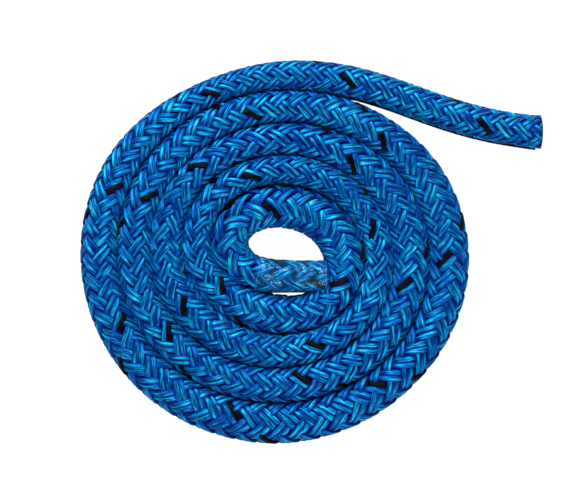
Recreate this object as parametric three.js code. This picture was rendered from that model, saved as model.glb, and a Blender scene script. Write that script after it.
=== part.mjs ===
// A climbing rope wound into a flat spiral coil: a braided cover over a bundle of core strands,
// a clear tape wrap round the inner end and a melted seal on each end.
// Millimetres, +Z up. The coil rests on z = 0, with +X towards the free tail.

import * as THREE from 'three';

// Rope
const ROPE_DIAMETER = 11;
const COVER_THICKNESS = 1.2;
const COVER_SIDES = 12;
const STRANDS_ROUND_CENTRE = 6;
const STRAND_SIDES = 8;
const GAP = 0.3; // left between pieces that touch

// Coil: each turn lies one rope diameter outside the last, round an oval eye.
const PITCH = ROPE_DIAMETER;
const EYE_RADIUS = 12.8;
const OVAL = 1.57; // how much longer the radius is along X, and shorter along Y
const FIRST_TURN = 0.25; // turns are counted from the bottom of the eye, clockwise from above
const LAST_TURN = 4.5;
const STEPS_PER_TURN = 12;
const COIL_CENTRE = new THREE.Vector2(-10.68, -2.73);

// Taped inner end: it lies straight across the eye, and the rope bends up from its left end.
const TAPED_Y = -6.6;
const TAPED_LEFT = -8.4;
const TAPED_RIGHT = 10.6;
const TAPE_THICKNESS = 0.25;
const TAPE_CLEARANCE = 0.25;
const TAPE_MARGIN = 0.3; // the cover shows this far past each end of the tape
const EYE_BEND = [
  [-12.3, -5.7],
  [-15.2, -3.4],
];

// Tail: it leaves the top of the coil and runs off to the right.
const TAIL = [
  [12.0, 60.3],
  [23.8, 57.6],
  [36.2, 53.5],
  [48.9, 48.8],
  [59.6, 45.3],
  [70.3, 42.6],
  [78.6, 41.2],
  [85.3, 40.3],
];

// Melted seals
const OUTER_SEAL_THICKNESS = 1.5;
const INNER_SEAL_LENGTH = 3;

const ropeRadius = ROPE_DIAMETER / 2;
const halfFacet = Math.PI / COVER_SIDES;
const coverApothem = ropeRadius * Math.cos(halfFacet);
const tapeApothem = coverApothem + TAPE_CLEARANCE + TAPE_THICKNESS;

const blueYarn = new THREE.MeshStandardMaterial({ color: 0x0a6fc4, roughness: 0.75, metalness: 0 });
const whiteYarn = new THREE.MeshStandardMaterial({ color: 0xe8e6df, roughness: 0.8, metalness: 0 });
const meltedBlue = new THREE.MeshStandardMaterial({ color: 0x06407f, roughness: 0.35, metalness: 0 });
const clearTape = new THREE.MeshStandardMaterial({
  color: 0xdfe9f2,
  roughness: 0.15,
  metalness: 0,
  transparent: true,
  opacity: 0.35,
});

// A path whose sections stand at its own points and never twist, so that one flat side of
// an extruded section stays underneath.
class LyingPath extends THREE.CatmullRomCurve3 {
  getPointAt(u, target) {
    return this.getPoint(u, target);
  }

  computeFrenetFrames(steps) {
    const up = new THREE.Vector3(0, 0, 1);
    const frames = { tangents: [], normals: [], binormals: [] };
    for (let i = 0; i <= steps; i += 1) {
      const tangent = this.getTangent(i / steps);
      const sideways = new THREE.Vector3().crossVectors(tangent, up).normalize();
      frames.tangents.push(tangent);
      frames.normals.push(new THREE.Vector3().crossVectors(sideways, tangent));
      frames.binormals.push(sideways);
    }
    return frames;
  }
}

// The centreline of the coil after a number of turns, measured from the coil's centre.
function coilPoint(turns) {
  const angle = 2 * Math.PI * turns;
  const radius = EYE_RADIUS + PITCH * turns;
  return [-(radius + OVAL) * Math.sin(angle), -(radius - OVAL) * Math.cos(angle)];
}

function ropeRoute() {
  const plan = [
    [TAPED_RIGHT, TAPED_Y],
    [(TAPED_LEFT + TAPED_RIGHT) / 2, TAPED_Y],
    [TAPED_LEFT, TAPED_Y],
    ...EYE_BEND,
  ];
  const coilSteps = Math.round((LAST_TURN - FIRST_TURN) * STEPS_PER_TURN);
  for (let i = 0; i <= coilSteps; i += 1) {
    plan.push(coilPoint(FIRST_TURN + i / STEPS_PER_TURN));
  }
  plan.push(...TAIL);
  const tapedPoints = 3;
  return plan.map(([x, y], i) => {
    const z = i < tapedPoints ? tapeApothem : coverApothem;
    return new THREE.Vector3(x + COIL_CENTRE.x, y + COIL_CENTRE.y, z);
  });
}

// A regular polygon with flat sides at the top and bottom, as points round a centre.
function polygon(sides, radius, [x, y] = [0, 0]) {
  const points = [];
  for (let i = 0; i < sides; i += 1) {
    const angle = (2 * Math.PI * (i + 0.5)) / sides;
    points.push(new THREE.Vector2(x + radius * Math.cos(angle), y + radius * Math.sin(angle)));
  }
  return points;
}

function tubeShape(sides, outerRadius, innerRadius) {
  const shape = new THREE.Shape(polygon(sides, outerRadius));
  shape.holes.push(new THREE.Path(polygon(sides, innerRadius)));
  return shape;
}

function alongPath(shape, points) {
  return new THREE.ExtrudeGeometry(shape, {
    steps: points.length - 1,
    extrudePath: new LyingPath(points),
  });
}

const group = new THREE.Group();

function add(name, geometry, material) {
  const mesh = new THREE.Mesh(geometry, material);
  mesh.name = name;
  group.add(mesh);
  return mesh;
}

const route = ropeRoute();
const boreRadius = ropeRadius - COVER_THICKNESS;

function addCover() {
  const section = tubeShape(COVER_SIDES, ropeRadius, boreRadius);
  add('braided_cover', alongPath(section, route), blueYarn);
}

// One strand in the middle and the rest round it, all with the same gap between them.
function addCore() {
  const boreApothem = boreRadius * Math.cos(halfFacet);
  const strandRadius = (boreApothem - 2 * GAP) / 3;
  const spacing = 2 * strandRadius + GAP;
  const centres = [[0, 0]];
  for (let i = 0; i < STRANDS_ROUND_CENTRE; i += 1) {
    const angle = (2 * Math.PI * i) / STRANDS_ROUND_CENTRE;
    centres.push([spacing * Math.cos(angle), spacing * Math.sin(angle)]);
  }
  centres.forEach((centre, i) => {
    const section = new THREE.Shape(polygon(STRAND_SIDES, strandRadius, centre));
    add(`core_strand_${i + 1}`, alongPath(section, route), whiteYarn);
  });
}

function addTape() {
  const outerRadius = tapeApothem / Math.cos(halfFacet);
  const innerRadius = (coverApothem + TAPE_CLEARANCE) / Math.cos(halfFacet);
  const section = tubeShape(COVER_SIDES, outerRadius, innerRadius);
  const ends = [TAPED_RIGHT - TAPE_MARGIN, TAPED_LEFT + TAPE_MARGIN].map(
    (x) => new THREE.Vector3(x + COIL_CENTRE.x, TAPED_Y + COIL_CENTRE.y, tapeApothem),
  );
  add('clear_tape_wrap', alongPath(section, ends), clearTape);
}

// The inner end is melted to a rounded tip, and the outer end is cut square and sealed.
function addSeals() {
  const tip = new THREE.LatheGeometry(
    [
      new THREE.Vector2(0, 0),
      new THREE.Vector2(0.85 * coverApothem, 0),
      new THREE.Vector2(0.75 * coverApothem, 0.4 * INNER_SEAL_LENGTH),
      new THREE.Vector2(0.5 * coverApothem, 0.8 * INNER_SEAL_LENGTH),
      new THREE.Vector2(0, INNER_SEAL_LENGTH),
    ],
    COVER_SIDES,
  );
  const innerSeal = add('inner_end_seal', tip, meltedBlue);
  innerSeal.position.set(route[0].x + GAP, route[0].y, route[0].z);
  innerSeal.rotation.z = -Math.PI / 2;

  const end = route.at(-1);
  const direction = end.clone().sub(route.at(-2)).normalize();
  const sealEnds = [GAP, GAP + OUTER_SEAL_THICKNESS].map((reach) =>
    end.clone().addScaledVector(direction, reach),
  );
  const disc = new THREE.Shape(polygon(COVER_SIDES, ropeRadius));
  add('outer_end_seal', alongPath(disc, sealEnds), meltedBlue);
}

addCover();
addCore();
addTape();
addSeals();

export default group;
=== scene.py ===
"""The looks of a climbing rope wound into a flat spiral coil.

Metres, +Z up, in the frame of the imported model. The braided cover is made yarn by yarn: sixteen
carriers of two yarns each cross two over, two under round a core of seven twisted strands.
"""

import math

import bpy
import numpy as np
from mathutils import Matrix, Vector


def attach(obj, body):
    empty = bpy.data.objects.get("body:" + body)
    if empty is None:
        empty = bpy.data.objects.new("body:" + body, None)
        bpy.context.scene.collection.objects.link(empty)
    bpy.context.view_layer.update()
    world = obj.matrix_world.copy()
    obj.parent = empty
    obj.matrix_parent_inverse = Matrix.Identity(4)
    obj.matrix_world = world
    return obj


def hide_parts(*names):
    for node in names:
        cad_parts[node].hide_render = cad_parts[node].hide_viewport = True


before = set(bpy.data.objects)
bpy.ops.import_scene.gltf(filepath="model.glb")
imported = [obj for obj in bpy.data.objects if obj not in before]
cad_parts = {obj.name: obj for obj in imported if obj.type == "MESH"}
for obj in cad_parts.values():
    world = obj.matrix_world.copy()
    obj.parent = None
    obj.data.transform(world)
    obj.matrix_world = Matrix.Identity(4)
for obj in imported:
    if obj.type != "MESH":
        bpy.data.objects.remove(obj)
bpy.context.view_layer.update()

MM = 0.001
TAU = 2 * math.pi

# Route, as the CAD model has it
ROPE_DIAMETER = 0.011
PITCH = ROPE_DIAMETER
EYE_RADIUS = 0.0128
OVAL = 0.00157
FIRST_TURN = 0.25
LAST_TURN = 4.5
COIL_CENTRE = np.array([-0.01068, -0.00273])
TAPED_Y = -0.0066
TAPED_LEFT = -0.0084
TAPED_RIGHT = 0.0106
EYE_BEND = [(-0.0123, -0.0057), (-0.0152, -0.0034)]
TAIL = [
    (0.0120, 0.0603),
    (0.0238, 0.0576),
    (0.0362, 0.0535),
    (0.0489, 0.0488),
    (0.0596, 0.0453),
    (0.0703, 0.0426),
    (0.0786, 0.0412),
    (0.0853, 0.0403),
]

# The soft rope, pressed against its neighbours. s is the length along it from the taped end.
CUT_END = 0.0009  # the tail is cut square this far past the CAD route
PAST_CUT = 0.0025  # the line runs on this far before the yarns are cut off
PRESSED = 0.0046  # the taped end reaches this much further right, up to the turn beside it
COIL_STEPS = 96  # points in each turn
LINE_STEP = 0.00025
LINE_SMOOTHING = 0.0022
STATION_LENGTH = 0.100  # off the coil, stations count this length as one turn

# How far the rope's edges lie from the CAD route, in millimetres. A station is the turns
# round the coil. CREVICES are between a turn and the next one out, as the way from halfway.
CREVICES = [
    (0.25, 1.1), (0.375, 2.6), (0.5, 1.3), (0.625, 0.1), (0.75, 0.1), (0.875, 0.9),
    (1.0, -0.7), (1.125, -2.3), (1.25, -0.6), (1.375, 0.3), (1.5, -0.5), (1.625, -1.8),
    (1.75, -1.6), (1.875, -1.1), (2.0, -0.7), (2.25, -1.0), (2.5, -0.7), (2.75, -0.8),
    (3.0, -0.2), (3.25, -1.0), (3.5, -0.8),
]
INNER_EDGE = [
    (-0.2, 4.25), (0.04, 4.2), (0.09, 5.1), (0.14, 5.5), (0.18, 6.6), (0.215, 7.5),
    (0.25, 7.2), (0.29, 5.8), (0.33, 4.5), (0.375, 6.2), (0.42, 6.7), (0.5, 8.5),
    (0.54, 9.2), (0.58, 9.4), (0.625, 9.8), (0.667, 9.7), (0.70, 9.5), (0.75, 9.1),
    (0.83, 6.4), (0.95, 6.6), (1.0, 9.0), (1.08, 9.6), (1.125, 9.0),
]
TAIL_INNER_EDGE = [
    (4.617, 6.8), (4.726, 5.9), (4.78, 5.6), (4.893, 5.25), (5.33, 5.4), (5.405, 5.9),
]
TAPED_OUTER_EDGE = [(-0.2, 6.1), (0.134, 6.1), (0.174, 5.3)]
OUTER_EDGE = [
    (3.6, 5.5), (3.667, 6.8), (3.75, 7.3), (3.875, 7.0), (4.0, 8.5), (4.08, 8.1),
    (4.125, 7.8), (4.25, 5.9), (4.33, 5.1), (4.375, 3.7), (4.42, 2.3), (4.46, 2.2),
    (4.5, 3.2), (4.617, 3.6), (4.726, 4.65), (4.78, 4.9), (4.893, 5.25), (5.33, 5.4),
    (5.405, 5.9),
]
WIDTH_SMOOTHING = 0.004
TOUCH = 0.2  # how far neighbouring turns press into each other's edges, in millimetres
TAPE_LIFT = 0.0006  # the taped end lies this much higher, on its tape
UNDERSIDE = 0.0004  # the yarns of a pair stand out past the rope's round, so it lies this much higher
LIFT_END = 0.0245  # where along the rope it has come halfway down from its tape
LIFT_EASE = 0.0010
HEIGHT_POWER = 0.35  # a wider section is lower, by this power of its width
HEIGHT_RANGE = (0.88, 1.04)
SQUARE_LENGTH = 0.0165  # the sections start to turn to the square cut this far from the line's end
SQUARE_EASE = 0.012

# Braid
CARRIERS = 8  # each way round
CARRIER_SHIFT = 0.09375  # of a lay, where carrier 0 lies
CARRIER_ANGLE = math.radians(33.75)
BRAID_RADIUS = 0.00424
BRAID_WAVE = 0.00062
FLAT_TOP = 1.35  # how flat a float runs between its dips
FLOAT_SWING = 0.0675  # radians, so that a yarn crosses more steeply on the outside
YARN_HALF_WIDTH = 0.00089
YARN_HALF_HEIGHT = 0.00066
YARN_OFFSET = 0.00085
RING_STEP = 0.0007
YARN_SIDES = 10

# What a yarn is at its middle height, and how much that grows on top of a float. For the crest light,
# which is painted light, this paints the yarn darker where it dives, as shade.
WIDTH_SHARE = (0.92, 0.12)
OFFSET_SHARE = (0.94, 0.08)
PAINTED_CREST_LIGHT_LIFT = (0.6, 0.4)

# The inside of the cover bulges towards the turn beside it, outwards up to OUTERMOST and
# inwards from INNERMOST on, filling the crevice with dark cover where there is only shade. The
# tail has no turn inside it, but its lining bulges there too, and stands out past the yarns.
LINING_RADIUS = 0.0037
LINING_BULGE = 0.0026
LINING_LOW = math.radians(22)  # the bulge is this far under the rope's middle
LINING_SHARPNESS = 8
LINING_SIDES = 24
INSIDE_STEP = 0.0015  # between the rings of the lining and of the core
TURN_MARGIN = 0.1
OUTERMOST = 3.55
INNERMOST = 1.1

# Core
STRANDS_ROUND_CENTRE = 6
STRAND_RADIUS = 0.00118
STRAND_SPACING = 0.00245
STRAND_LAY = 0.045
STRAND_SIDES = 10
CORE_SHORT = 0.001  # the core ends this far before the cut
CENTRE_SEED = 50  # sets the streaks of the strands

# Where the dark yarn comes to the top: the route length, lays so far, and the angle from the top
TOPS = [
    (-0.001, -1, 42), (0.056, 0, -14), (0.0995, 1, 0), (0.1495, 2, -18), (0.198, 3, -8),
    (0.347, 6, 10), (0.397, 7, 31), (0.4545, 8, -23), (0.504, 9, -12),
    (0.658, 12, -18), (0.800, 15, -14), (0.952, 18, -21), (1.095, 21, 5), (1.1425, 22, -12),
]
TOPS_SMOOTHING = 0.01
TOPS_REACH = 0.1  # the first and last lays run on this far

# Tape: its ends along the rope, and the heights, waves round the rope and waves along it of
# its slight ridges
TAPE_START = 0.0002
TAPE_END = 0.0230
TAPE_STEP = 0.00025
TAPE_SIDES = 120
TAPE_SURFACES = (0.00032, 0.00010)  # the outer and the inner, above the rope's round
TAPE_RIM = 0.0005
TAPE_RIDGES = [(0.00005, 9, 420), (0.00004, 16, -900), (0.00003, 5, 2300)]

# Melted ends, as rings: how far each is pushed along the rope, its share of the rope's round,
# and how lumpy it is
SEAL_SIDES = 48
INNER_SEAL_PLACE = 0.0004
INNER_SEAL = [(0.0008, 0.96, 0.0), (-0.0004, 0.97, 0.01), (-0.0010, 0.85, 0.02), (-0.0013, 0.5, 0.02)]
OUTER_SEAL = [
    (-0.0006, 0.86, 0.0), (0.0000, 0.90, 0.01), (0.0002, 0.87, 0.01), (0.0003, 0.80, 0.01),
    (0.0002, 0.70, 0.02), (0.0001, 0.66, 0.02), (0.0003, 0.56, 0.03), (0.0002, 0.44, 0.03),
    (0.0003, 0.30, 0.04), (0.0002, 0.14, 0.04),
]

# Colours, 0 to 255, from painted shade in the grooves to a painted highlight on the crests, with
# streaks mixed in
COVER_SHADES = [(3, 2, 110), (5, 22, 132), (7, 70, 157), (12, 141, 196), (30, 218, 236)]
TRACER_SHADES = [(4, 4, 5), (9, 8, 9), (20, 19, 21)]
CORE_SHADES = [(170, 168, 160), (215, 213, 206), (238, 237, 232)]
MELTED_SHADES = [(0.3, (0, 20, 84)), (0.5, (0, 52, 132)), (0.7, (4, 96, 168))]
# The tape: a teal veil, and white where its noise runs high, partly milky air under the tape and
# partly painted glints
TAPE_SHADES = [(0.60, (50, 160, 200)), (0.72, (190, 230, 245))]

# Yarn shading: how much the painted crest light, a fine streak and a broad streak each add
PAINTED_CREST_LIGHT_SHARE = 0.8
FINE_SHARE = 2.6
BROAD_SHARE = 0.8
SATIN = 0.5  # filaments mirror the light mostly across themselves
STREAK_AND_LIGHT_RANGE = (1.75, 2.87)

# Camera: straight down on the coil
CAMERA_X = -0.00873
CAMERA_Y = 0.00189
CAMERA_HEIGHT = 0.5365
CAMERA_LENS = 100

# Studio: places, sizes and watts of the lamps, and a floor that the camera sees white
WORLD_LIGHT = 0.19
KEY = {"place": (-0.15, 0.64, 0.58), "size": 0.3, "power": 9.2}
FILL = {"place": (0.15, -0.65, 0.50), "size": 0.4, "power": 4.2}
FLOOR_HALF = 3.0
FLOOR_Z = -0.00005
FLOOR_GLOW = 1.12
FLOOR_GLOW_SHARE = 0.9


# ---------------------------------------------------------------- the line of the rope


def through(points, step=0.0005):
    """A smooth line through the points, as points about a step apart."""
    p = np.array(points, dtype=float)
    gap = np.linalg.norm(np.diff(p, axis=0), axis=1)[:, None]
    slope = np.diff(p, axis=0) / gap
    middle = (slope[:-1] * gap[1:] + slope[1:] * gap[:-1]) / (gap[:-1] + gap[1:])
    tangent = np.vstack([slope[:1], middle, slope[-1:]])
    line = []
    for i, length in enumerate(gap[:, 0]):
        u = np.linspace(0, 1, max(2, round(length / step)), endpoint=False)[:, None]
        line.append(
            (1 + 2 * u) * (1 - u) ** 2 * p[i]
            + u * (1 - u) ** 2 * length * tangent[i]
            + u**2 * (3 - 2 * u) * p[i + 1]
            + u**2 * (u - 1) * length * tangent[i + 1]
        )
    return np.vstack([*line, p[-1:]])


def lengths_along(line):
    """The length along the line at each of its points."""
    return np.concatenate([[0], np.cumsum(np.linalg.norm(np.diff(line, axis=0), axis=1))])


def smoothed(values, step, sigma):
    """Values a step apart, each blended with its neighbours. The ends stay where they are."""
    reach = int(round(3 * sigma / step))
    weights = np.exp(-0.5 * (np.arange(-reach, reach + 1) * step / sigma) ** 2)
    weights /= weights.sum()
    flat = values.reshape(len(values), -1)
    before = 2 * flat[0] - flat[reach:0:-1]
    after = 2 * flat[-1] - flat[-2 : -reach - 2 : -1]
    padded = np.vstack([before, flat, after])
    mixed = [np.convolve(padded[:, k], weights, mode="valid") for k in range(flat.shape[1])]
    return np.stack(mixed, axis=1).reshape(values.shape)


def coil_point(turns):
    angle = TAU * turns
    radius = EYE_RADIUS + PITCH * turns
    return (-(radius + OVAL) * math.sin(angle), -(radius - OVAL) * math.cos(angle))


def cad_route():
    """The CAD route in plan, a short step apart, with the station of each of its points."""
    taped = [
        (TAPED_RIGHT + PRESSED, TAPED_Y),
        ((TAPED_LEFT + TAPED_RIGHT) / 2, TAPED_Y),
        (TAPED_LEFT, TAPED_Y),
    ]
    steps = round((LAST_TURN - FIRST_TURN) * COIL_STEPS)
    coil = [coil_point(FIRST_TURN + i / COIL_STEPS) for i in range(steps + 1)]
    cut = (TAIL[-1][0] + CUT_END + PAST_CUT, TAIL[-1][1])
    line = through([*taped, *EYE_BEND, *coil, *TAIL, cut])
    along = lengths_along(line)
    s = np.arange(0, along[-1], LINE_STEP)
    line = np.stack([np.interp(s, along, line[:, k]) for k in range(2)], axis=1)
    line = smoothed(line, LINE_STEP, LINE_SMOOTHING)

    lead_in = lengths_along(through([*taped, *EYE_BEND, coil[0]]))[-1]
    lead_out = lengths_along(through([coil[-1], *TAIL]))[-1]
    coil_lengths = lengths_along(np.array(coil)) + lead_in
    marks = [0, *coil_lengths, s[-1]]
    first = FIRST_TURN - lead_in / STATION_LENGTH
    last = LAST_TURN + lead_out / STATION_LENGTH
    turns = np.linspace(FIRST_TURN, LAST_TURN, len(coil))
    station = np.interp(s, marks, [first, *turns, last])
    return line + COIL_CENTRE, s, station


def columns(table):
    return np.array(table, dtype=float).T


def edges(station):
    """How far the rope's inner and outer edges lie from the CAD route, in metres."""
    turn, crevice = columns(CREVICES)
    half = ROPE_DIAMETER / 2 / MM + TOUCH
    inner = np.hstack([columns(INNER_EDGE), [turn + 1, half - crevice], columns(TAIL_INNER_EDGE)])
    outer = np.hstack([columns(TAPED_OUTER_EDGE), [turn, half + crevice], columns(OUTER_EDGE)])
    return np.interp(station, *inner) * MM, np.interp(station, *outer) * MM


class Rope:
    """The rope's line, its sections' directions and sizes, every LINE_STEP."""

    def __init__(self):
        plan, self.s, self.station = cad_route()
        inner, outer = edges(self.station)
        shift = smoothed((outer - inner) / 2, LINE_STEP, WIDTH_SMOOTHING)
        width = smoothed((outer + inner) / 2, LINE_STEP, WIDTH_SMOOTHING)
        along = self.directions(plan)
        outward = np.stack([-along[:, 1], along[:, 0]], axis=1)
        plan = smoothed(plan + outward * shift[:, None], LINE_STEP, LINE_SMOOTHING)
        along = self.directions(plan)

        nominal = ROPE_DIAMETER / 2
        self.wide = width / nominal
        self.high = np.clip((nominal / width) ** HEIGHT_POWER, *HEIGHT_RANGE)
        taped = 1 / (1 + np.exp((self.s - LIFT_END) / LIFT_EASE))
        z = self.high * nominal + UNDERSIDE + TAPE_LIFT * taped
        self.line = np.column_stack([plan, z])

        # The last sections turn to the square cut.
        square = np.clip((self.s - self.s[-1] + SQUARE_LENGTH) / SQUARE_EASE, 0, 1)[:, None]
        along = along * (1 - square) + np.array([1.0, 0.0]) * square
        along /= np.linalg.norm(along, axis=1)[:, None]
        self.along = np.column_stack([along, np.zeros(len(along))])
        self.outward = np.column_stack([-along[:, 1], along[:, 0], np.zeros(len(along))])
        self.cut_x = TAIL[-1][0] + CUT_END + COIL_CENTRE[0]
        self.cut_s = float(np.interp(self.cut_x, self.line[-60:, 0], self.s[-60:]))
        self.kept = self.line[self.s <= self.cut_s]
        self.length = lengths_along(self.kept)[-1]

        tops_s, tops_n, tops_angle = columns(TOPS)
        s = self.s - PRESSED
        per_lay = np.diff(tops_s) / np.diff(tops_n)
        lead = TOPS_REACH / per_lay
        before = (tops_s[0] - TOPS_REACH, tops_n[0] - lead[0], tops_angle[0])
        after = (tops_s[-1] + TOPS_REACH, tops_n[-1] + lead[-1], tops_angle[-1])
        marks = np.column_stack([before, [tops_s, tops_n, tops_angle], after])
        lays = np.interp(s, marks[0], marks[1])
        angle = np.radians(np.interp(s, marks[0], marks[2]))
        self.lays = smoothed(lays, LINE_STEP, TOPS_SMOOTHING) + CARRIER_SHIFT
        self.turned = smoothed(angle, LINE_STEP, TOPS_SMOOTHING) + CARRIER_ANGLE

    @staticmethod
    def directions(plan):
        along = np.gradient(plan, axis=0)
        return along / np.linalg.norm(along, axis=1)[:, None]

    def at(self, values, s):
        """Values of this line at the lengths s."""
        if values.ndim == 1:
            return np.interp(s, self.s, values)
        columns_there = [np.interp(s, self.s, column) for column in values.T]
        return np.stack(columns_there, axis=1)

    def point(self, s, angle, radius):
        """Points at the lengths s, at an angle from the top towards the outside of the coil."""
        across = (self.at(self.wide, s) * radius * np.sin(angle))[:, None]
        up = (self.at(self.high, s) * radius * np.cos(angle))[:, None]
        return self.at(self.line, s) + self.at(self.outward, s) * across + [0, 0, 1] * up


# ---------------------------------------------------------------- meshes


def new_object(name, points, faces, material, slot, **held):
    """A piece that rides on the rope's body. What else it holds is a number or vector a point."""
    mesh = bpy.data.meshes.new(name)
    mesh.from_pydata(points, [], faces)
    for key, values in held.items():
        kind, field = ("FLOAT", "value") if values.ndim == 1 else ("FLOAT_VECTOR", "vector")
        values = np.asarray(values, dtype=np.float32).ravel()
        mesh.attributes.new(key, kind, "POINT").data.foreach_set(field, values)
    mesh.polygons.foreach_set("use_smooth", np.ones(len(faces), dtype=bool))
    mesh.update()
    mesh.materials.append(material)
    made = bpy.data.objects.new(name, mesh)
    bpy.context.collection.objects.link(made)
    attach(made, "root")
    return made


def tube_faces(rings, sides, first=0):
    """The faces of a closed tube whose rings of points follow each other, from point first."""
    ring = np.arange(rings - 1)[:, None] * sides
    side = np.arange(sides)[None, :]
    after = (side + 1) % sides
    corners = [ring + side, ring + after, ring + sides + after, ring + sides + side]
    walls = np.stack([c.ravel() for c in corners], axis=1) + first
    start = [first + k for k in reversed(range(sides))]
    end = [first + (rings - 1) * sides + k for k in range(sides)]
    return [*walls.tolist(), start, end]


def swept(path, normal, half_width, half_height, seed, sides=YARN_SIDES, sideways=0.0, crest_light_scale=1.0):
    """A yarn along the path: its points, and for each its place on the yarn pulled straight, in
    mm, the way across the yarn, and the painted light of its crest, from 0 to 1 as it stands out."""
    tangent = np.gradient(path, axis=0)
    tangent /= np.linalg.norm(tangent, axis=1)[:, None]
    normal = normal - tangent * np.sum(normal * tangent, axis=1)[:, None]
    normal /= np.linalg.norm(normal, axis=1)[:, None]
    lateral = np.cross(normal, tangent)
    path = path + lateral * np.broadcast_to(sideways, len(path))[:, None]
    angle = TAU * np.arange(sides) / sides
    across = np.outer(np.broadcast_to(half_width, len(path)), np.cos(angle))
    up = np.outer(np.broadcast_to(half_height, len(path)), np.sin(angle))
    points = path[:, None, :] + lateral[:, None, :] * across[..., None]
    points = points + normal[:, None, :] * up[..., None]
    along = lengths_along(path) / MM + seed * 37.0
    pulled = np.stack([np.broadcast_to(along[:, None], across.shape), across / MM, up / MM], axis=2)
    pulled[..., 1] += seed * 5.3
    crest_light_scale = np.broadcast_to(crest_light_scale, len(path))[:, None]
    # Painted light: none on the yarn's underside, most on its outward crest, and less where the yarn
    # dives under, as painted shade there
    painted_crest_light = np.clip(np.sin(angle), 0, 1)[None, :] * crest_light_scale
    across = np.broadcast_to(lateral[:, None, :], points.shape)
    return {
        "points": points.reshape(-1, 3),
        "fibre": pulled.reshape(-1, 3),
        "across": across.reshape(-1, 3),
        "painted_crest_light": painted_crest_light.ravel(),
    }


def joined(parts, sides):
    """Several swept yarns as one set of points, faces and what each point holds."""
    faces = []
    first = 0
    for part in parts:
        faces += tube_faces(len(part["points"]) // sides, sides, first)
        first += len(part["points"])
    held = {key: np.concatenate([part[key] for part in parts]) for key in parts[0]}
    return {"faces": faces} | held


# ---------------------------------------------------------------- materials


def new_material(name):
    material = bpy.data.materials.new(name)
    material.use_nodes = True
    tree = material.node_tree
    return material, tree, tree.nodes["Principled BSDF"]


def node(tree, kind, **inputs):
    made = tree.nodes.new("ShaderNode" + kind)
    for key, value in inputs.items():
        made.inputs[key.replace("_", " ")].default_value = value
    return made


def ramp(tree, source, stops):
    made = tree.nodes.new("ShaderNodeValToRGB")
    elements = made.color_ramp.elements
    while len(elements) < len(stops):
        elements.new(1.0)
    for element, (place, colour) in zip(elements, stops):
        element.position = place
        element.color = (*colour, 1.0)
    tree.links.new(source, made.inputs["Fac"])
    return made.outputs["Color"]


def linear(red, green, blue):
    """A colour of 0 to 255 as the shaders take it."""
    shares = []
    for level in (red, green, blue):
        if level < 11:
            shares.append(level / 255 / 12.92)
        else:
            shares.append(((level / 255 + 0.055) / 1.055) ** 2.4)
    return tuple(shares)


def streaks(tree, along, across, detail=3.0):
    """Noise drawn out along a yarn, in its own pulled-straight coordinates."""
    place = tree.nodes.new("ShaderNodeAttribute")
    place.attribute_name = "fibre"
    scaled = node(tree, "Mapping", Scale=(along, across, across))
    tree.links.new(place.outputs["Vector"], scaled.inputs["Vector"])
    noise = node(tree, "TexNoise", Scale=1.0, Detail=detail, Roughness=0.6)
    tree.links.new(scaled.outputs["Vector"], noise.inputs["Vector"])
    return noise.outputs["Fac"]


def held_value(tree, name, output):
    place = tree.nodes.new("ShaderNodeAttribute")
    place.attribute_name = name
    return place.outputs[output]


def summed(tree, *weighted):
    """The sum of values, each times its own number."""
    total = None
    for value, weight in weighted:
        made = node(tree, "Math")
        made.operation = "MULTIPLY_ADD"
        tree.links.new(value, made.inputs[0])
        made.inputs[1].default_value = weight
        made.inputs[2].default_value = 0.0
        if total:
            tree.links.new(total, made.inputs[2])
        total = made.outputs[0]
    return total


def yarn_material(name, shades, glint, roughness):
    """Spun filaments: streaks along the yarn, with painted shade in its grooves and a painted
    highlight where it stands out.
    """
    material, tree, shader = new_material(name)
    fine = streaks(tree, 0.25, 1.9, 4.0)
    broad = streaks(tree, 0.10, 0.6, 2.0)
    # Painted light and shade go into the base colour: darker in the grooves and dives, lighter on the
    # crests
    painted_crest_light = held_value(tree, "painted_crest_light", "Fac")
    streaks_and_painted_light = summed(tree, (painted_crest_light, PAINTED_CREST_LIGHT_SHARE), (fine, FINE_SHARE), (broad, BROAD_SHARE))
    shade = node(tree, "MapRange")
    shade.inputs["From Min"].default_value, shade.inputs["From Max"].default_value = STREAK_AND_LIGHT_RANGE
    tree.links.new(streaks_and_painted_light, shade.inputs["Value"])
    places = np.linspace(0, 1, len(shades))
    colour = ramp(tree, shade.outputs["Result"], list(zip(places, shades)))
    tree.links.new(colour, shader.inputs["Base Color"])
    bump = node(tree, "Bump", Strength=0.8, Distance=0.0002)
    tree.links.new(fine, bump.inputs["Height"])
    tree.links.new(bump.outputs["Normal"], shader.inputs["Normal"])
    rough = node(tree, "MapRange")
    rough.inputs["To Min"].default_value = roughness - 0.1
    rough.inputs["To Max"].default_value = roughness + 0.12
    tree.links.new(fine, rough.inputs["Value"])
    tree.links.new(rough.outputs["Result"], shader.inputs["Roughness"])
    tree.links.new(held_value(tree, "across", "Vector"), shader.inputs["Tangent"])
    shader.inputs["Metallic"].default_value = SATIN
    shader.inputs["Anisotropic"].default_value = 0.65
    shader.inputs["Specular IOR Level"].default_value = 0.7
    shader.inputs["IOR"].default_value = 1.6
    shader.inputs["Specular Tint"].default_value = (*glint, 1.0)
    shader.inputs["Sheen Weight"].default_value = 0.15
    shader.inputs["Sheen Roughness"].default_value = 0.4
    shader.inputs["Sheen Tint"].default_value = (*glint, 1.0)
    return material


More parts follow.
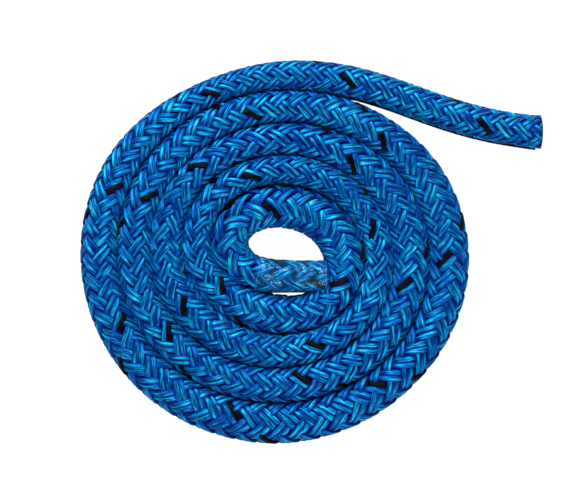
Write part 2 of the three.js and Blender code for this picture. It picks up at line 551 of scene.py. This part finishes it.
def tape_material():
    material, tree, shader = new_material("clear_tape")
    spot = tree.nodes.new("ShaderNodeTexCoord")
    scaled = node(tree, "Mapping", Scale=(240.0, 560.0, 560.0))
    tree.links.new(spot.outputs["Object"], scaled.inputs["Vector"])
    noise = node(tree, "TexNoise", Scale=1.0, Detail=3.0, Roughness=0.55)
    tree.links.new(scaled.outputs["Vector"], noise.inputs["Vector"])
    # Where the noise runs high the tape turns whiter and more opaque: painted glints, partly milky
    # air under it
    milk_and_painted_glint = node(tree, "MapRange")
    milk_and_painted_glint.inputs["From Min"].default_value = 0.62
    milk_and_painted_glint.inputs["From Max"].default_value = 0.9
    milk_and_painted_glint.inputs["To Min"].default_value = 0.045
    milk_and_painted_glint.inputs["To Max"].default_value = 0.8
    tree.links.new(noise.outputs["Fac"], milk_and_painted_glint.inputs["Value"])
    # A lighter line painted at the tape's ends, for the light that its cut edges catch
    rim = held_value(tree, "rim", "Fac")
    alpha = summed(tree, (milk_and_painted_glint.outputs["Result"], 1.0), (rim, 0.2))
    tree.links.new(alpha, shader.inputs["Alpha"])
    stops = [(place, linear(*colour)) for place, colour in TAPE_SHADES]
    tree.links.new(ramp(tree, noise.outputs["Fac"], stops), shader.inputs["Base Color"])
    shader.inputs["Roughness"].default_value = 0.12
    shader.inputs["Specular IOR Level"].default_value = 0.9
    bump = node(tree, "Bump", Strength=0.3, Distance=0.0001)
    tree.links.new(noise.outputs["Fac"], bump.inputs["Height"])
    tree.links.new(bump.outputs["Normal"], shader.inputs["Normal"])
    return material


def melted_material():
    material, tree, shader = new_material("melted_end")
    place = tree.nodes.new("ShaderNodeTexCoord")
    noise = node(tree, "TexNoise", Scale=900.0, Detail=4.0, Roughness=0.6)
    tree.links.new(place.outputs["Object"], noise.inputs["Vector"])
    stops = [(share, linear(*colour)) for share, colour in MELTED_SHADES]
    tree.links.new(ramp(tree, noise.outputs["Fac"], stops), shader.inputs["Base Color"])
    shader.inputs["Roughness"].default_value = 0.45
    shader.inputs["Specular IOR Level"].default_value = 0.3
    bump = node(tree, "Bump", Strength=0.6, Distance=0.0002)
    tree.links.new(noise.outputs["Fac"], bump.inputs["Height"])
    tree.links.new(bump.outputs["Normal"], shader.inputs["Normal"])
    return material


# ---------------------------------------------------------------- camera, floor and light


def add_camera():
    camera = bpy.data.cameras.new("camera")
    camera.lens = CAMERA_LENS
    camera.sensor_width = 36
    held = bpy.data.objects.new("camera", camera)
    held.location = (CAMERA_X, CAMERA_Y, CAMERA_HEIGHT)
    bpy.context.collection.objects.link(held)
    bpy.context.scene.camera = held


def add_area(name, place, size, power):
    """A square lamp that shines at the frame's origin."""
    lamp = bpy.data.lights.new(name, "AREA")
    lamp.shape = "SQUARE"
    lamp.size = size
    lamp.energy = power
    held = bpy.data.objects.new(name, lamp)
    held.location = place
    aim = Vector((0.0, 0.0, 0.0)) - held.location
    held.rotation_euler = aim.to_track_quat("-Z", "Y").to_euler()
    bpy.context.collection.objects.link(held)


def add_floor():
    mesh = bpy.data.meshes.new("floor")
    half = FLOOR_HALF
    corners = [(-half, -half, 0), (half, -half, 0), (half, half, 0), (-half, half, 0)]
    mesh.from_pydata(corners, [], [(0, 1, 2, 3)])
    floor = bpy.data.objects.new("floor", mesh)
    floor.location.z = FLOOR_Z
    material, tree, shader = new_material("floor")
    shader.inputs["Base Color"].default_value = (0.85, 0.85, 0.85, 1)
    shader.inputs["Roughness"].default_value = 0.9
    white = node(tree, "Emission", Strength=FLOOR_GLOW)
    seen = tree.nodes.new("ShaderNodeLightPath")
    share = node(tree, "Math")
    share.operation = "MULTIPLY"
    share.inputs[1].default_value = FLOOR_GLOW_SHARE
    mixed = tree.nodes.new("ShaderNodeMixShader")
    tree.links.new(seen.outputs["Is Camera Ray"], share.inputs[0])
    tree.links.new(share.outputs[0], mixed.inputs["Fac"])
    tree.links.new(shader.outputs["BSDF"], mixed.inputs[1])
    tree.links.new(white.outputs["Emission"], mixed.inputs[2])
    tree.links.new(mixed.outputs["Shader"], tree.nodes["Material Output"].inputs["Surface"])
    mesh.materials.append(material)
    bpy.context.collection.objects.link(floor)


def add_world():
    """A dim white surround that the camera sees as full white."""
    world = bpy.data.worlds.new("studio")
    world.use_nodes = True
    backdrop = world.node_tree
    backdrop.nodes["Background"].inputs["Color"].default_value = (1, 1, 1, 1)
    seen = backdrop.nodes.new("ShaderNodeLightPath")
    strength = node(backdrop, "MapRange")
    strength.inputs["To Min"].default_value = WORLD_LIGHT
    strength.inputs["To Max"].default_value = 1.0
    backdrop.links.new(seen.outputs["Is Camera Ray"], strength.inputs["Value"])
    backdrop.links.new(strength.outputs["Result"], backdrop.nodes["Background"].inputs["Strength"])
    bpy.context.scene.world = world
    bpy.context.scene.view_settings.view_transform = "Standard"


# ---------------------------------------------------------------- pieces


def carrier_yarn(rope, hand, carrier, side, s):
    """One yarn of a carrier. Side is -1 for the one nearer the start, 1 for the one after it."""
    lays = rope.at(rope.lays, s)
    if hand > 0:
        phase = math.pi / 2 * (2 * CARRIERS * lays + 2 * carrier - 0.5)
    else:
        phase = math.pi / 2 * (2 * CARRIERS * lays - 2 * carrier - 1.5)
    angle = hand * TAU * lays + TAU * carrier / CARRIERS + rope.at(rope.turned, s)
    angle = angle + hand * FLOAT_SWING * np.sin(phase)
    wave = np.sin(math.pi / 2 * np.clip(FLAT_TOP * np.cos(phase), -1, 1))
    radius = BRAID_RADIUS + BRAID_WAVE * wave
    path = rope.point(s, angle, radius)
    normal = rope.point(s, angle, radius + MM) - path
    level = rope.at(rope.wide, s) * np.cos(angle)
    upright = rope.at(rope.high, s) * np.sin(angle)
    spread = np.hypot(level, upright)
    seed = carrier * 4 + (hand + 1) + (side + 1) / 2
    yarn = swept(
        path,
        normal,
        YARN_HALF_WIDTH * spread * (WIDTH_SHARE[0] + WIDTH_SHARE[1] * wave),
        YARN_HALF_HEIGHT,
        seed,
        sideways=-hand * side * YARN_OFFSET * spread * (OFFSET_SHARE[0] + OFFSET_SHARE[1] * wave),
        # The crest light is painted light: lower on a dive, as painted shade where the yarn tucks
        # under
        crest_light_scale=PAINTED_CREST_LIGHT_LIFT[0] + PAINTED_CREST_LIGHT_LIFT[1] * wave,
    )
    yarn["points"][:, 0] = np.minimum(yarn["points"][:, 0], rope.cut_x)
    return yarn


def add_cover(rope, yarn, tracer):
    """The carriers of the braid, and the one dark yarn that takes a blue one's place."""
    s = np.arange(0.0, rope.s[-1], RING_STEP)
    pieces = []
    for hand, word in ((1, "right"), (-1, "left")):
        for carrier in range(CARRIERS):
            yarns = {side: carrier_yarn(rope, hand, carrier, side, s) for side in (-1, 1)}
            if hand < 0 and carrier == 0:
                dark = joined([yarns.pop(-1)], YARN_SIDES)
                made = new_object("tracer_yarn", material=tracer, slot="tracer_yarn", **dark)
                pieces.append(made)
            held = joined(list(yarns.values()), YARN_SIDES)
            name = f"cover_carrier_{word}_{carrier + 1}"
            pieces.append(new_object(name, material=yarn, slot="cover_yarn", **held))
    return pieces


def ring_angles(sides):
    """Angles round a section, in the order in which a tube's faces look out."""
    return -TAU * np.arange(sides) / sides


def add_cover_lining(rope, yarn):
    """The inside of the cover, one closed tube as far as the cut, dark with painted shade."""
    s = np.arange(0.0, rope.cut_s, INSIDE_STEP)
    sides = LINING_SIDES
    angles = ring_angles(sides)
    station = rope.at(rope.station, s)[:, None]
    outside = station < OUTERMOST - TURN_MARGIN
    inside = station > INNERMOST + TURN_MARGIN
    beside = np.where(np.sin(angles) > 0, outside, inside)
    from_top = np.arccos(np.cos(angles))
    bulging = np.abs(np.cos(math.pi / 2 + LINING_LOW - from_top)) ** LINING_SHARPNESS
    radius = LINING_RADIUS + LINING_BULGE * beside * bulging
    rings = [rope.point(s, np.full(len(s), a), radius[:, k]) for k, a in enumerate(angles)]
    points = np.stack(rings, axis=1).reshape(-1, 3)
    round_it = np.tile(np.arange(sides) * MM, len(s))
    fibre = np.stack([np.repeat(s, sides), round_it, np.zeros(len(points))], axis=1)
    # No crest light: the lining takes the cover's darkest painted shade
    held = {"fibre": fibre / MM, "painted_crest_light": np.zeros(len(points))}
    return new_object("cover_lining", points, tube_faces(len(s), sides), yarn, "cover_yarn", **held)


def add_core(rope, yarn):
    """Seven strands twisted round each other, well inside the cover."""
    s = np.arange(0.0, rope.cut_s - CORE_SHORT, INSIDE_STEP)
    sides = STRAND_SIDES
    size = (STRAND_RADIUS, STRAND_RADIUS)
    upward = np.tile([0, 0, 1.0], (len(s), 1))
    parts = [swept(rope.at(rope.line, s), upward, *size, CENTRE_SEED, sides)]
    for i in range(STRANDS_ROUND_CENTRE):
        angle = TAU * i / STRANDS_ROUND_CENTRE + TAU * s / STRAND_LAY
        path = rope.point(s, angle, STRAND_SPACING)
        normal = rope.point(s, angle, STRAND_SPACING + MM) - path
        parts.append(swept(path, normal, *size, CENTRE_SEED + 1 + i, sides))
    return new_object("core_strands", material=yarn, slot="core_yarn", **joined(parts, sides))


def add_tape(rope, tape):
    """Clear tape wound round the inner end, a closed shell with slight ridges."""
    s = np.arange(TAPE_START, TAPE_END, TAPE_STEP)
    sides = TAPE_SIDES
    angles = ring_angles(sides)
    ridges = 0
    for height, waves, along in TAPE_RIDGES:
        ridges = ridges + height * np.sin(waves * angles[None, :] + along * s[:, None])
    shell = []
    for above in TAPE_SURFACES:
        radius = ROPE_DIAMETER / 2 + above + ridges
        walls = [rope.point(s, np.full(len(s), a), radius[:, k]) for k, a in enumerate(angles)]
        shell.append(np.stack(walls, axis=1))
    points = np.vstack([shell[0], shell[1][::-1]]).reshape(-1, 3)
    rings = 2 * len(s)
    faces = tube_faces(rings, sides)[:-2]
    last = (rings - 1) * sides
    faces += [(last + k, last + (k + 1) % sides, (k + 1) % sides, k) for k in range(sides)]
    end = np.minimum(s - s[0], s[-1] - s)
    # A painted light line at each end of the tape
    rim = np.repeat(np.clip(1 - end / TAPE_RIM, 0, 1), sides)
    rim = np.concatenate([rim, rim])
    return new_object("clear_tape", points, faces, tape, "clear_tape", rim=rim)


def add_seal(rope, name, s, steps, melted):
    """A melted end: rings of the rope's section, pushed along the rope and shrunk, as steps."""
    sides = SEAL_SIDES
    ends = np.array([s])
    angle = ring_angles(sides)
    radius = np.array([ROPE_DIAMETER / 2])
    base = np.array([rope.point(ends, np.array([a]), radius)[0] for a in angle])
    centre = rope.at(rope.line, ends)[0]
    along = rope.at(rope.along, ends)[0]
    rings = []
    for push, share, bulge in steps:
        lumps = 1 + bulge * (np.sin(3 * angle + 90 * push) + np.sin(7 * angle + 1.3))[:, None]
        rings.append(centre + (base - centre) * share * lumps + along * push)
    faces = tube_faces(len(rings), sides)
    if steps[-1][0] < steps[0][0]:
        faces = [face[::-1] for face in faces]
    return new_object(name, np.vstack(rings), faces, melted, "melted_end")


add_camera()
add_floor()
add_world()
add_area("key", **KEY)
add_area("fill", **FILL)

rope = Rope()
blue = yarn_material("cover_yarn", [linear(*c) for c in COVER_SHADES], (0.01, 0.66, 1.0), 0.56)
black = yarn_material("tracer_yarn", [linear(*c) for c in TRACER_SHADES], (0.1, 0.1, 0.12), 0.6)
white = yarn_material("core_yarn", [linear(*c) for c in CORE_SHADES], (1.0, 1.0, 1.0), 0.7)

lining = add_cover_lining(rope, blue)
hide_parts("braided_cover")
on_rope = add_cover(rope, blue, black)
core = add_core(rope, white)
strands = range(1, STRANDS_ROUND_CENTRE + 2)
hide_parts(*[f"core_strand_{i}" for i in strands])
tape = add_tape(rope, tape_material())
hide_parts("clear_tape_wrap")

melted = melted_material()
inner_seal = add_seal(rope, "inner_end_seal_melted", INNER_SEAL_PLACE, INNER_SEAL, melted)
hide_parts("inner_end_seal")
outer_seal = add_seal(rope, "outer_end_seal_melted", rope.cut_s, OUTER_SEAL, melted)
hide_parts("outer_end_seal")
